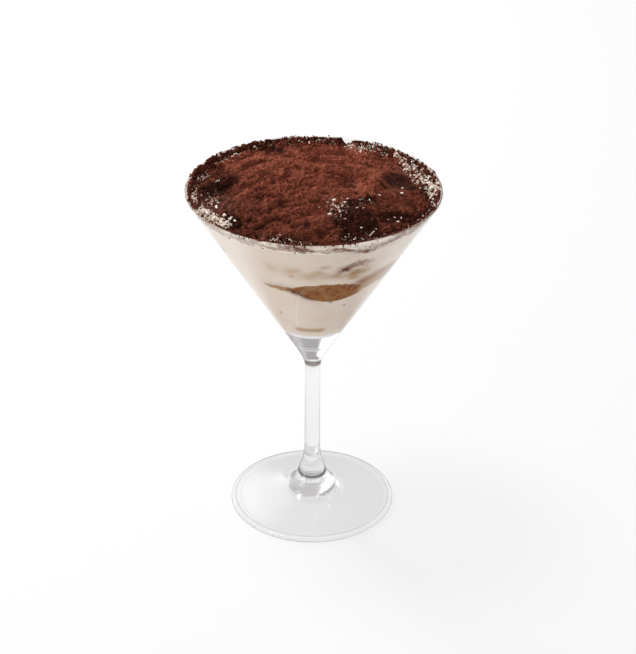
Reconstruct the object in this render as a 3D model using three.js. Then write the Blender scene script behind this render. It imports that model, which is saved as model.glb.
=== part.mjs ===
// A tiramisu built up in layers in a stemmed cocktail glass.
// Millimetres, +Z up, origin at the centre of the foot's base.
// Angles round the glass are counted from the front (-Y) towards +X.
import * as THREE from "three";

const degrees = THREE.MathUtils.degToRad;
const { clamp, lerp, smoothstep } = THREE.MathUtils;

const SEGMENTS = 48; // the glass and its contents share them, so that their walls stay parallel

// The glass
const RIM_RADIUS = 58;
const RIM_HEIGHT = 167;
const LIP_RADIUS = 0.55; // the rim is melted to a half round
const OUTER_HALF_ANGLE = degrees(31.7);
const INNER_HALF_ANGLE = degrees(32.3); // the wall grows thicker downwards
const CONE_BOTTOM = 85; // below this the cone runs into the stem
const BOWL_FLOOR = 96.8; // lowest point of the inside
const STEM_TOP = 72;
const STEM_BOTTOM = 31;
const STEM_TOP_RADIUS = 3.55;
const STEM_BOTTOM_RADIUS = 3.7;
const FLARE_RADIUS = 10.4; // where the stem's flare meets the foot
const FLARE_HEIGHT = 10.4;
const FOOT_RADIUS = 39.3;
const FOOT_EDGE = 2.2; // thickness of the foot's rounded edge
const REST_RING_RADIUS = 35; // the foot stands on a flat ring from here outwards
const FOOT_HOLLOW = 4.5; // rise of the underside at the middle

// Handles of the outline's curves, as radius and height
const HOLLOW_HANDLES = [[16, FOOT_HOLLOW], [28, 1.2]];
const FOOT_TOP_HANDLES = [[26, 4.6], [14, 6.6]];
const FLARE_HANDLES = [[7.7, 13.25], [STEM_BOTTOM_RADIUS, 22]];
const STEM_RUN_OUT = 6; // how far the stem keeps its direction above its top
const CONE_RUN_OUT = 4; // and the cone below its bottom

// The contents
const GAP = 0.3; // between pieces that touch
const BASE_TOP = 105.5;
const LOWER_BISCUIT_TOP = 139.2;
const LOWER_BISCUIT_TILT = 0.045; // it rises towards +X
const UPPER_BISCUIT_BOTTOM = 143.8;
const UPPER_BISCUIT_TOP = 153;
const FILL_HEIGHT = 163.8; // the cocoa's height along the wall
const CROWN_HEIGHT = 168.6; // and at the middle of the mound
const COCOA_THICKNESS = 1.4;
const CORE_THICKNESS = 10; // of the lower biscuit away from the wall
const STREAK_THICKNESS = 2.2; // and of its thinnest stretches along the wall
const SAG = 1.6; // how far the creams dip towards the middle

// Ends of the sponge fingers that reach the wall: middle and half width round the glass, and depth
const LOWER_FINGERS = [
  { at: 13, half: 27, depth: 12.8 },
  { at: 44, half: 26, depth: 7 },
  { at: 108, half: 25, depth: 11 },
  { at: 187, half: 28, depth: 12.5 },
  { at: 262, half: 24, depth: 10 },
];
const UPPER_FINGERS = [
  { at: -10, half: 24, depth: 9 },
  { at: 38, half: 22, depth: 7 },
  { at: 120, half: 30, depth: 9 },
  { at: 215, half: 26, depth: 8.5 },
  { at: 290, half: 22, depth: 7.5 },
];

// Humps and hollows of the cocoa mound: place, reach along and across, turn of the long side from +X, rise
const RELIEF = [
  { x: 30, y: -1, along: 22, across: 4.5, turn: 72, rise: 2.4 },
  { x: 39, y: 7, along: 13, across: 8, turn: 124, rise: -2.6 },
  { x: 18, y: -35, along: 14, across: 12, turn: 10, rise: 2.2 },
  { x: -39, y: 5, along: 16, across: 7, turn: 60, rise: -2.6 },
  { x: -6, y: 16, along: 28, across: 12, turn: 160, rise: 1.5 },
  { x: 16, y: 13, along: 17, across: 5, turn: 132, rise: -1.2 },
  { x: -20, y: 43, along: 7, across: 4, turn: -20, rise: 1.4 },
  { x: 41, y: -27, along: 10, across: 6, turn: 30, rise: -1.2 },
];

// Straight inner wall of the bowl, and the round floor that it runs into
const lipCentre = { r: RIM_RADIUS - LIP_RADIUS, z: RIM_HEIGHT - LIP_RADIUS };
const innerLip = {
  r: lipCentre.r - LIP_RADIUS * Math.cos(INNER_HALF_ANGLE),
  z: lipCentre.z + LIP_RADIUS * Math.sin(INNER_HALF_ANGLE),
};
const outerLip = {
  r: lipCentre.r + LIP_RADIUS * Math.cos(OUTER_HALF_ANGLE),
  z: lipCentre.z - LIP_RADIUS * Math.sin(OUTER_HALF_ANGLE),
};
const coneTip = innerLip.z - innerLip.r / Math.tan(INNER_HALF_ANGLE);
const floorRadius = (BOWL_FLOOR - coneTip) / (1 / Math.sin(INNER_HALF_ANGLE) - 1);
const floorCentre = BOWL_FLOOR + floorRadius;
const coneBottomRadius = outerLip.r - (outerLip.z - CONE_BOTTOM) * Math.tan(OUTER_HALF_ANGLE);

// Radius of the space for the contents at a height, one gap clear of the glass
function bowlRadius(z) {
  const tangentHeight = floorCentre - floorRadius * Math.sin(INNER_HALF_ANGLE);
  if (z > tangentHeight)
    return (z - coneTip - GAP / Math.sin(INNER_HALF_ANGLE)) * Math.tan(INNER_HALF_ANGLE);
  const radius = floorRadius - GAP;
  return Math.sqrt(Math.max(radius ** 2 - (floorCentre - z) ** 2, 0));
}

// Height of the round floor of the contents at a radius
function floorHeight(r) {
  const radius = floorRadius - GAP;
  return floorCentre - Math.sqrt(radius ** 2 - r ** 2);
}

// Thickness of a biscuit layer along the wall: its fingers' round undersides, or a thin streak between them
function fingerDepth(fingers, angle) {
  const depths = fingers.map(({ at, half, depth }) => {
    const off = THREE.MathUtils.euclideanModulo(angle - at + 180, 360) - 180;
    return depth * Math.sqrt(clamp(1 - (off / half) ** 2, 0, 1));
  });
  return Math.max(STREAK_THICKNESS, ...depths);
}

// The same over the whole layer: one even slab in the middle, which its fingers join towards the wall
function biscuitDepth(fingers, core, x, y, reach) {
  const angle = THREE.MathUtils.radToDeg(Math.atan2(x, -y));
  const share = smoothstep(Math.hypot(x, y) / reach, 0.45, 0.95);
  return lerp(core, fingerDepth(fingers, angle), share);
}

function relief(x, y) {
  return RELIEF.reduce((sum, hump) => {
    const turn = degrees(hump.turn);
    const dx = x - hump.x;
    const dy = y - hump.y;
    const along = (dx * Math.cos(turn) + dy * Math.sin(turn)) / hump.along;
    const across = (dy * Math.cos(turn) - dx * Math.sin(turn)) / hump.across;
    return sum + hump.rise * Math.exp(-(along ** 2) - across ** 2);
  }, 0);
}

const dip = (x, y) => -SAG * (1 - (Math.hypot(x, y) / RIM_RADIUS) ** 2);

// Heights of the faces between the layers, over the plane
const lowerBiscuitTop = (x, y) => LOWER_BISCUIT_TOP + LOWER_BISCUIT_TILT * x + dip(x, y);
const lowerBiscuitBottom = (x, y) =>
  lowerBiscuitTop(x, y) - biscuitDepth(LOWER_FINGERS, CORE_THICKNESS, x, y, bowlRadius(LOWER_BISCUIT_TOP));
const upperBiscuitTop = (x, y) => UPPER_BISCUIT_TOP + dip(x, y);
const upperBiscuitBottom = (x, y) => {
  const full = UPPER_BISCUIT_TOP - UPPER_BISCUIT_BOTTOM;
  return upperBiscuitTop(x, y) - biscuitDepth(UPPER_FINGERS, full, x, y, bowlRadius(UPPER_BISCUIT_TOP));
};
const cocoaTop = (x, y) => {
  const share = clamp(Math.hypot(x, y) / bowlRadius(FILL_HEIGHT), 0, 1);
  const mound = lerp(CROWN_HEIGHT, FILL_HEIGHT, share ** 5);
  return mound + relief(x, y) * (1 - share ** 6);
};
const creamTop = (x, y) => cocoaTop(x, y) - COCOA_THICKNESS;

const onWheel = (r, turn, z) => new THREE.Vector3(r * Math.sin(turn), -r * Math.cos(turn), z);

// A lathe turned about +Z, its first section towards the front
function turned(outline) {
  const geometry = new THREE.LatheGeometry(outline, SEGMENTS);
  return geometry.rotateX(Math.PI / 2);
}

// A seam is the face between two layers: the one above starts at its height, and the one below ends a gap lower.
// Both end at the radius where the lower face meets the bowl, so that they stay parallel.
function seam(height, rings) {
  const edges = Array.from({ length: SEGMENTS }, (_, section) => {
    const turn = (section * 2 * Math.PI) / SEGMENTS;
    let r = RIM_RADIUS / 2;
    for (let step = 0; step < 30; step++) {
      const { x, y } = onWheel(r, turn, 0);
      r = bowlRadius(height(x, y) - GAP);
    }
    return r;
  });
  const shares = Array.from({ length: rings + 1 }, (_, ring) => ring / rings);
  return { height, edges, shares };
}

// A point of a seam at a share of its radius, lowered for the layer that ends there
function onSeam({ height, edges }, section, share, lowered) {
  const turn = (section * 2 * Math.PI) / SEGMENTS;
  const point = onWheel(edges[section] * share, turn, 0);
  return point.setZ(height(point.x, point.y) - lowered);
}

// One layer of the contents: a lathe of unit shares, whose points are moved onto its two seams and the bowl
function layer(bottom, top, wallRows, lowered) {
  const rows = Array.from({ length: wallRows }, (_, row) => (row + 1) / (wallRows + 1));
  const outline = [
    ...bottom.shares.map((share) => new THREE.Vector2(share, 0)),
    ...rows.map((row) => new THREE.Vector2(1, row)),
    ...top.shares.toReversed().map((share) => new THREE.Vector2(share, 1)),
  ];
  const geometry = new THREE.LatheGeometry(outline, SEGMENTS);
  const position = geometry.getAttribute("position");
  for (let i = 0; i < position.count; i++) {
    const section = Math.floor(i / outline.length) % SEGMENTS;
    const { x: share, y: level } = outline[i % outline.length];
    const low = onSeam(bottom, section, share, 0);
    const high = onSeam(top, section, share, lowered);
    const between = lerp(low.z, high.z, level);
    const wall = onWheel(bowlRadius(between), (section * 2 * Math.PI) / SEGMENTS, between);
    const { x, y, z } = level === 0 ? low : level === 1 ? high : wall;
    position.setXYZ(i, x, y, z);
  }
  turnDiagonals(geometry, outline);
  return geometry;
}

// Splits the quads of a layer's upper face along the other diagonal, the one that the layer above has
function turnDiagonals(geometry, outline) {
  const index = geometry.getIndex();
  const inSection = outline.length - 1;
  for (let quad = 0; quad < SEGMENTS * inSection; quad++) {
    const row = quad % inSection;
    if (outline[row].y < 1 || outline[row + 1].y < 1) continue;
    const start = Math.floor(quad / inSection) * outline.length + row;
    const next = start + outline.length;
    [start, next, next + 1, start, next + 1, start + 1].forEach((vertex, k) =>
      index.setX(6 * quad + k, vertex),
    );
  }
}

// The lowest layer has no side of its own: its underside is the bowl's round floor up to its top
function floorLayer(topHeight, rings) {
  const reach = bowlRadius(topHeight);
  const shares = Array.from({ length: rings + 1 }, (_, i) => (i / rings) * reach);
  const underside = shares.map((r) => new THREE.Vector2(r, floorHeight(r)));
  return turned([...underside, new THREE.Vector2(0, topHeight)]);
}

// Outline of the whole glass: underside, rim of the foot, its top, flare, stem, bowl, lip and round floor
function glassOutline() {
  const at = (r, z) => new THREE.Vector2(r, z);
  const bend = (...points) => new THREE.CubicBezierCurve(...points);
  const arc = (r, z, radius, from, to, clockwise = false) =>
    new THREE.EllipseCurve(r, z, radius, radius, from, to, clockwise);
  const right = Math.PI / 2;
  const footEdge = FOOT_EDGE / 2;
  const flare = at(FLARE_RADIUS, FLARE_HEIGHT);
  const stemBottom = at(STEM_BOTTOM_RADIUS, STEM_BOTTOM);
  const stemTop = at(STEM_TOP_RADIUS, STEM_TOP);
  const coneBottom = at(coneBottomRadius, CONE_BOTTOM);
  const lip = [lipCentre.r, lipCentre.z, LIP_RADIUS];
  const coneRunOutRadius = coneBottomRadius - CONE_RUN_OUT * Math.tan(OUTER_HALF_ANGLE);
  const belowCone = at(coneRunOutRadius, CONE_BOTTOM - CONE_RUN_OUT);
  const [hollowIn, hollowOut] = HOLLOW_HANDLES.map((handle) => at(...handle));
  const [footOut, footIn] = FOOT_TOP_HANDLES.map((handle) => at(...handle));
  const [flareLow, flareHigh] = FLARE_HANDLES.map((handle) => at(...handle));
  const stretches = [
    [bend(at(0, FOOT_HOLLOW), hollowIn, hollowOut, at(REST_RING_RADIUS, 0)), 4],
    [arc(FOOT_RADIUS - footEdge, footEdge, footEdge, -right, right), 5],
    [bend(at(FOOT_RADIUS - footEdge, FOOT_EDGE), footOut, footIn, flare), 4],
    [bend(flare, flareLow, flareHigh, stemBottom), 6],
    [bend(stemTop, at(STEM_TOP_RADIUS, STEM_TOP + STEM_RUN_OUT), belowCone, coneBottom), 5],
    [arc(...lip, -OUTER_HALF_ANGLE, Math.PI - INNER_HALF_ANGLE), 4],
    [arc(0, floorCentre, floorRadius, -INNER_HALF_ANGLE, -right, true), 6],
  ];
  const points = stretches.flatMap(([curve, steps]) => curve.getPoints(steps));
  return points.filter((point, i) => i === 0 || point.distanceTo(points[i - 1]) > 1e-6);
}

function piece(name, geometry, color, roughness) {
  const material = new THREE.MeshStandardMaterial({ color, roughness, metalness: 0 });
  const mesh = new THREE.Mesh(geometry, material);
  mesh.name = name;
  return mesh;
}

const CREAM = 0xe2d6c4;
const BISCUIT = 0x9a6f3c;
const COCOA = 0x5c2a20;
const SOAKED_SPONGE = 0xc9a878;

const dessert = new THREE.Group();

const glass = piece("glass", turned(glassOutline()), 0xffffff, 0.02);
glass.material.transparent = true;
glass.material.opacity = 0.3;
dessert.add(glass);

dessert.add(piece("biscuit_base", floorLayer(BASE_TOP, 4), SOAKED_SPONGE, 0.6));

// Each layer from the base upwards: name, colour, rows of points up the wall, and the seam above it
const BASE_SEAM = seam(() => BASE_TOP + GAP, 4);
const LAYERS = [
  ["cream_lower", CREAM, 2, seam(lowerBiscuitBottom, 4)],
  ["biscuit_lower", BISCUIT, 1, seam(lowerBiscuitTop, 4)],
  ["cream_middle", CREAM, 1, seam(upperBiscuitBottom, 4)],
  ["biscuit_upper", BISCUIT, 1, seam(upperBiscuitTop, 4)],
  ["cream_upper", CREAM, 1, seam(creamTop, 7)],
  ["cocoa", COCOA, 0, seam(cocoaTop, 7)],
];
LAYERS.forEach(([name, color, rows, above], i) => {
  const below = i ? LAYERS[i - 1][3] : BASE_SEAM;
  dessert.add(piece(name, layer(below, above, rows, GAP), color, 0.8));
});

export default dessert;
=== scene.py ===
"""Tiramisu in a stemmed cocktail glass: its looks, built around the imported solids.

Sizes are worked out in millimetres and turned into metres where a mesh is made. Turns round the glass
are counted from the front (-Y) towards +X, in degrees.
"""

import math
import random

import bmesh
import bpy
import numpy as np
from mathutils import Euler, Matrix, Vector, noise


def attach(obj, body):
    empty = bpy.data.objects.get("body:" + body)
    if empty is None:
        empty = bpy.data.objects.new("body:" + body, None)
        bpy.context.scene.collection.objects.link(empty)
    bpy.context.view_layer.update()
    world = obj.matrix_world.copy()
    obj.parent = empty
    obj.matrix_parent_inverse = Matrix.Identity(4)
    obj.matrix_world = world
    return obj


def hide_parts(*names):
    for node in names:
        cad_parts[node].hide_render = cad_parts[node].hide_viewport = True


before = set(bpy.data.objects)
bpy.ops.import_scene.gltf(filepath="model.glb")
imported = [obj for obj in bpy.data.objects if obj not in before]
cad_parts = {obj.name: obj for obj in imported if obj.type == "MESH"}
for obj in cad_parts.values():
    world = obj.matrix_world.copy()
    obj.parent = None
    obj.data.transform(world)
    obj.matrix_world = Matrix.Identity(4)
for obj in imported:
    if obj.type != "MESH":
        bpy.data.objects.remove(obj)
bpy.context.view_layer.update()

MM = 0.001
BODY = "root"
MERGE = 1e-4  # points nearer than this are one
TINY = 1e-6


# ---------------------------------------------------------------- driving sizes, in millimetres

RIM_RADIUS = 58.0
RIM_HEIGHT = 167.0
LIP_RADIUS = 0.55
OUTER_HALF_ANGLE = math.radians(31.7)
INNER_HALF_ANGLE = math.radians(32.3)
CONE_BOTTOM = 85.0
BOWL_FLOOR = 96.8
STEM_TOP, STEM_BOTTOM = 72.0, 31.0
STEM_TOP_RADIUS, STEM_BOTTOM_RADIUS = 3.55, 3.7
FLARE_RADIUS, FLARE_HEIGHT = 10.4, 10.4
FOOT_RADIUS, FOOT_EDGE, REST_RING_RADIUS, FOOT_HOLLOW = 39.3, 2.2, 35.0, 4.5

INTO_WALL = 0.12  # how far the contents reach into the glass, so that no air shows between them
BASE_TOP = 105.5
LOWER_BISCUIT_TOP = 139.2
LOWER_BISCUIT_TILT = 0.045  # rise towards +X, for each millimetre
UPPER_BISCUIT_BOTTOM = 143.8
UPPER_BISCUIT_TOP = 153.0
FILL_HEIGHT = 163.6
CROWN_HEIGHT = 168.8
COCOA_THICKNESS = 1.5
SAG = 1.6  # of the biscuit layers, in the middle

LIP_CENTRE = (RIM_RADIUS - LIP_RADIUS, RIM_HEIGHT - LIP_RADIUS)
INNER_LIP = (
    LIP_CENTRE[0] - LIP_RADIUS * math.cos(INNER_HALF_ANGLE),
    LIP_CENTRE[1] + LIP_RADIUS * math.sin(INNER_HALF_ANGLE),
)
OUTER_LIP = (
    LIP_CENTRE[0] + LIP_RADIUS * math.cos(OUTER_HALF_ANGLE),
    LIP_CENTRE[1] - LIP_RADIUS * math.sin(OUTER_HALF_ANGLE),
)
CONE_TIP = INNER_LIP[1] - INNER_LIP[0] / math.tan(INNER_HALF_ANGLE)
FLOOR_RADIUS = (BOWL_FLOOR - CONE_TIP) / (1 / math.sin(INNER_HALF_ANGLE) - 1)
FLOOR_CENTRE = BOWL_FLOOR + FLOOR_RADIUS
CONE_BOTTOM_RADIUS = OUTER_LIP[0] - (OUTER_LIP[1] - CONE_BOTTOM) * math.tan(OUTER_HALF_ANGLE)


# ---------------------------------------------------------------- small helpers

def clamp(value, low=0.0, high=1.0):
    return max(low, min(high, value))


def mix(a, b, share):
    return a + (b - a) * share


def smooth(value, low, high):
    """0 at low and 1 at high, with a soft step between. Low may be the larger."""
    t = clamp((value - low) / (high - low))
    return t * t * (3 - 2 * t)


def turn_off(turn, at):
    """Signed difference of two turns, in degrees."""
    return (turn - at + 180) % 360 - 180


def turn_of(x, y):
    return math.degrees(math.atan2(x, -y))


def at_turn(turn, r, z):
    a = math.radians(turn)
    return Vector((r * math.sin(a), -r * math.cos(a), z))


def rough(x, y, z, reach):
    """Smooth noise of about -1 to 1, in blobs about reach across. On the mound z only picks the noise."""
    return noise.noise(Vector((x / reach, y / reach, z / reach)))


DRUM_RADIUS, SEED_STEP = 45, 61


def around(turn, reach, height, seed):
    """Noise on a drum round the glass, which closes on itself. The seed picks the noise."""
    place = at_turn(turn, DRUM_RADIUS, height)
    return rough(place.x, place.y, place.z + seed * SEED_STEP, reach)


def bowl_radius(z, out=INTO_WALL):
    """Inner radius of the bowl at a height, moved out by a little."""
    tangent = FLOOR_CENTRE - FLOOR_RADIUS * math.sin(INNER_HALF_ANGLE)
    if z > tangent:
        return (z - CONE_TIP) * math.tan(INNER_HALF_ANGLE) + out / math.cos(INNER_HALF_ANGLE)
    radius = FLOOR_RADIUS + out
    return math.sqrt(max(radius**2 - (FLOOR_CENTRE - z) ** 2, 0.0))


def finish_mesh(bm, name, material, smooth_faces=True):
    """Makes an object of a bmesh in millimetres, with its place in its mesh."""
    bmesh.ops.scale(bm, verts=bm.verts, vec=(MM, MM, MM))
    mesh = bpy.data.meshes.new(name)
    bm.to_mesh(mesh)
    bm.free()
    return as_object(mesh, name, material, smooth_faces)


def as_object(mesh, name, material, smooth_faces=True):
    mesh.polygons.foreach_set("use_smooth", [smooth_faces] * len(mesh.polygons))
    mesh.materials.append(material)
    ob = bpy.data.objects.new(name, mesh)
    bpy.context.scene.collection.objects.link(ob)
    return ob


def write_mask(ob, name, value):
    """A number at each point of a mesh, from a function of its place in millimetres."""
    layer = ob.data.attributes.new(name, "FLOAT", "POINT")
    layer.data.foreach_set("value", [value(*(v.co / MM)) for v in ob.data.vertices])


def turned(outline, steps):
    """A grid rolled up about Z. Its rows follow the outline's (radius, height) points."""
    bm = bmesh.new()
    rows = len(outline) - 1
    bmesh.ops.create_grid(bm, x_segments=steps, y_segments=rows, size=1)
    for v in bm.verts:
        column = round((v.co.x + 1) / 2 * steps) % steps
        r, z = outline[round((v.co.y + 1) / 2 * rows)]
        v.co = at_turn(360 * column / steps, r, z)
    bmesh.ops.remove_doubles(bm, verts=bm.verts, dist=MERGE)
    bmesh.ops.recalc_face_normals(bm, faces=bm.faces)
    return bm


def bezier(points, steps):
    """Points of a cubic curve from its ends and handles."""
    a, b, c, d = (Vector(p) for p in points)
    found = []
    for i in range(steps + 1):
        t = i / steps
        u = 1 - t
        found.append(u**3 * a + 3 * u * u * t * b + 3 * u * t * t * c + t**3 * d)
    return found


def arc(centre, radius, start, end, steps):
    angles = [mix(start, end, i / steps) for i in range(steps + 1)]
    return [Vector((centre[0] + radius * math.cos(a), centre[1] + radius * math.sin(a))) for a in angles]


def straight(a, b, steps):
    return [Vector(a).lerp(Vector(b), i / steps) for i in range(steps + 1)]


# ---------------------------------------------------------------- material helpers

def rgb(r, g, b):
    """A colour as seen on a screen, 0 to 255, as the linear values that the shaders take."""
    def linear(c):
        c /= 255
        return c / 12.92 if c <= 0.04045 else ((c + 0.055) / 1.055) ** 2.4
    return (linear(r), linear(g), linear(b), 1.0)


class Tree:
    """A node tree with short ways to add what the materials here are made of."""

    def __init__(self, tree):
        self.nodes, self.links = tree.nodes, tree.links

    def add(self, kind, **settings):
        node = self.nodes.new(kind)
        for key, value in settings.items():
            setattr(node, key, value)
        return node

    def put(self, value, socket):
        if isinstance(value, bpy.types.NodeSocket):
            self.links.new(value, socket)
        else:
            socket.default_value = value

    def noise(self, place, scale, detail=4.0, roughness=0.55):
        node = self.add("ShaderNodeTexNoise")
        names = ("Vector", "Scale", "Detail", "Roughness")
        for value, name in zip((place, scale, detail, roughness), names):
            self.put(value, node.inputs[name])
        return node.outputs["Fac"]

    def ranged(self, value, low, high, to_low=0.0, to_high=1.0):
        node = self.add("ShaderNodeMapRange", interpolation_type="SMOOTHSTEP")
        names = ("Value", "From Min", "From Max", "To Min", "To Max")
        for item, name in zip((value, low, high, to_low, to_high), names):
            self.put(item, node.inputs[name])
        return node.outputs["Result"]

    def mixed(self, share, a, b):
        node = self.add("ShaderNodeMix", data_type="RGBA")
        for value, index in ((share, 0), (a, 6), (b, 7)):
            self.put(value, node.inputs[index])
        return node.outputs[2]

    def mixed_shaders(self, share, a, b):
        node = self.add("ShaderNodeMixShader")
        for value, socket in zip((share, a, b), node.inputs):
            self.put(value, socket)
        return node.outputs[0]

    def clear(self, let_through):
        node = self.add("ShaderNodeBsdfTransparent")
        node.inputs["Color"].default_value = (let_through, let_through, let_through, 1)
        return node.outputs[0]

    def maths(self, operation, a, b, clamped=False):
        node = self.add("ShaderNodeMath", operation=operation, use_clamp=clamped)
        self.put(a, node.inputs[0])
        self.put(b, node.inputs[1])
        return node.outputs[0]

    def product(self, first, *others):
        for other in others:
            first = self.maths("MULTIPLY", first, other)
        return first

    def attribute(self, name):
        return self.add("ShaderNodeAttribute", attribute_name=name).outputs["Fac"]

    def place(self):
        return self.add("ShaderNodeTexCoord").outputs["Object"]

    def bump(self, height, strength, distance):
        node = self.add("ShaderNodeBump")
        self.put(height, node.inputs["Height"])
        node.inputs["Strength"].default_value = strength
        node.inputs["Distance"].default_value = distance
        return node.outputs["Normal"]

    def group(self, tree, **inputs):
        node = self.add("ShaderNodeGroup", node_tree=tree)
        for name, value in inputs.items():
            self.put(value, node.inputs[name.capitalize()])
        return node.outputs


def new_material(name):
    material = bpy.data.materials.new(name)
    material.use_nodes = True
    return material, Tree(material.node_tree), material.node_tree.nodes["Principled BSDF"]


def new_group(name, inputs, outputs):
    """A shader node group with named inputs and outputs, as (name, kind) pairs."""
    tree = bpy.data.node_groups.new(name, "ShaderNodeTree")
    for direction, sockets in (("INPUT", inputs), ("OUTPUT", outputs)):
        for socket_name, kind in sockets:
            tree.interface.new_socket(socket_name, in_out=direction, socket_type="NodeSocket" + kind)
    t = Tree(tree)
    return tree, t, t.add("NodeGroupInput").outputs, t.add("NodeGroupOutput").inputs


# ---------------------------------------------------------------- effects that several materials share

CREAM_PALE = rgb(238, 224, 209)
CREAM_WARM = rgb(232, 215, 197)
CREAM_PORE = rgb(204, 182, 156)
CREAM_FLECK = rgb(255, 243, 228)
CREAM_SOAKED = rgb(198, 166, 132)
SPONGE_LIGHT = rgb(158, 108, 54)
SPONGE_BROWN = rgb(134, 90, 42)
SPONGE_FLECK = rgb(146, 50, 14)
# painted glint of the bowl's inner bottom, under the contents
PAINTED_GLINT_RING = rgb(255, 252, 252)
STAIN = rgb(120, 64, 38)
CRUMB = rgb(96, 50, 32)
COCOA_DRY = rgb(163, 92, 71)
COCOA_LIGHT = rgb(198, 130, 107)
COCOA_DEEP = rgb(88, 39, 26)
# near black, for damp powder and for the mound's painted shade
COCOA_DAMP_AND_SHADE = rgb(50, 23, 15)
# painted sheen: the lilac-grey gloss of wet powder
COCOA_PAINTED_SHEEN = rgb(102, 72, 66)

# scales of the noises, in cells for each metre
CREAM_CLOUDS, CREAM_PORES = 85, 650
COCOA_CLOUDS, COCOA_CRUMBS, COCOA_GRAIN = 110, 480, 1300
SPONGE_CRUMB, SPONGE_FLECKS = 380, 460.0
STAIN_CLOUDS, STAIN_CRUMBS = 420, 700.0
CURD_FLECKS = 760.0
NO_SPOTS, ALL_SPOTS = 0.64, 0.36  # height of the noise above which a spot shows, at a share of 0 and of 1


def speckle_group():
    """Broken spots of a given share of the surface: 0 is none and 1 is all."""
    tree, t, given, result = new_group(
        "speckle",
        [("Place", "Vector"), ("Share", "Float"), ("Scale", "Float"), ("Soft", "Float")],
        [("Mask", "Float")])
    spots = t.noise(given["Place"], given["Scale"], 3.0, 0.6)
    limit = t.maths("SUBTRACT", NO_SPOTS, t.maths("MULTIPLY", given["Share"], NO_SPOTS - ALL_SPOTS))
    low = t.maths("SUBTRACT", limit, given["Soft"])
    high = t.maths("ADD", limit, given["Soft"])
    some = t.maths("MULTIPLY", given["Share"], 8.0, True)
    t.put(t.maths("MULTIPLY", t.ranged(spots, low, high), some), result["Mask"])
    return tree


def cream_group():
    """Whipped mascarpone: pale, with warmer clouds, small pores and soft folds."""
    tree, t, given, result = new_group(
        "cream_look", [("Place", "Vector")], [("Colour", "Color"), ("Height", "Float")])
    clouds = t.ranged(t.noise(given["Place"], CREAM_CLOUDS, 4.0), 0.4, 0.78)
    colour = t.mixed(clouds, CREAM_PALE, CREAM_WARM)
    pores = t.noise(given["Place"], CREAM_PORES, 4.0, 0.6)
    t.put(t.mixed(t.ranged(pores, 0.6, 0.72, 0.0, 0.25), colour, CREAM_PORE), result["Colour"])
    t.put(pores, result["Height"])
    return tree


def cocoa_group():
    """Sifted cocoa: reddish with deeper clouds, near black where damp and where shade is painted, with a
    painted grey sheen where wet.
    """
    tree, t, given, result = new_group(
        "cocoa_look",
        [("Place", "Vector"), ("Damp", "Float"), ("Grey", "Float")],
        [("Colour", "Color"), ("Roughness", "Float"), ("Height", "Float")])
    clouds = t.ranged(t.noise(given["Place"], COCOA_CLOUDS, 5.0, 0.6), 0.34, 0.68, 0.35, 1.0)
    grain = t.noise(given["Place"], COCOA_GRAIN, 3.0, 0.7)
    crumbs = t.noise(given["Place"], COCOA_CRUMBS, 4.0, 0.65)
    dry = t.mixed(clouds, COCOA_DEEP, COCOA_DRY)
    dry = t.mixed(t.ranged(grain, 0.38, 0.6, 0.75, 0.0), dry, COCOA_DEEP)
    dry = t.mixed(t.ranged(crumbs, 0.36, 0.54, 0.45, 0.0), dry, COCOA_DEEP)
    dry = t.mixed(t.ranged(grain, 0.55, 0.7, 0.0, 0.5), dry, COCOA_LIGHT)
    # darkened for damp powder, and on the mound for its painted shade
    damp = t.mixed(given["Damp"], dry, COCOA_DAMP_AND_SHADE)
    # the painted sheen of wet powder, mixed over the colour
    t.put(t.mixed(given["Grey"], damp, COCOA_PAINTED_SHEEN), result["Colour"])
    t.put(t.ranged(given["Damp"], 0.0, 1.0, 0.95, 0.85), result["Roughness"])
    t.put(t.maths("ADD", grain, crumbs), result["Height"])
    return tree


# ---------------------------------------------------------------- materials

GLASS_CLEAR = (0.912, 0.915, 0.92, 1)
# painted dark outline where the glass is seen edge on
GLASS_PAINTED_OUTLINE = (0.2, 0.19, 0.2, 1)
# painted dark tone: the dessert's brown seen through the glass, and dark outlines
GLASS_PAINTED_DARK = (0.05, 0.02, 0.014, 1)
# painted light band at the foot's rim
GLASS_LIGHT_BAND = (0.985, 0.985, 0.985, 1)
LEAKED, BEHIND_GLASS, LIGHT_THROUGH, SHADE_THROUGH = 0.9, 0.95, 0.96, 0.8  # how much passes straight


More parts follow.
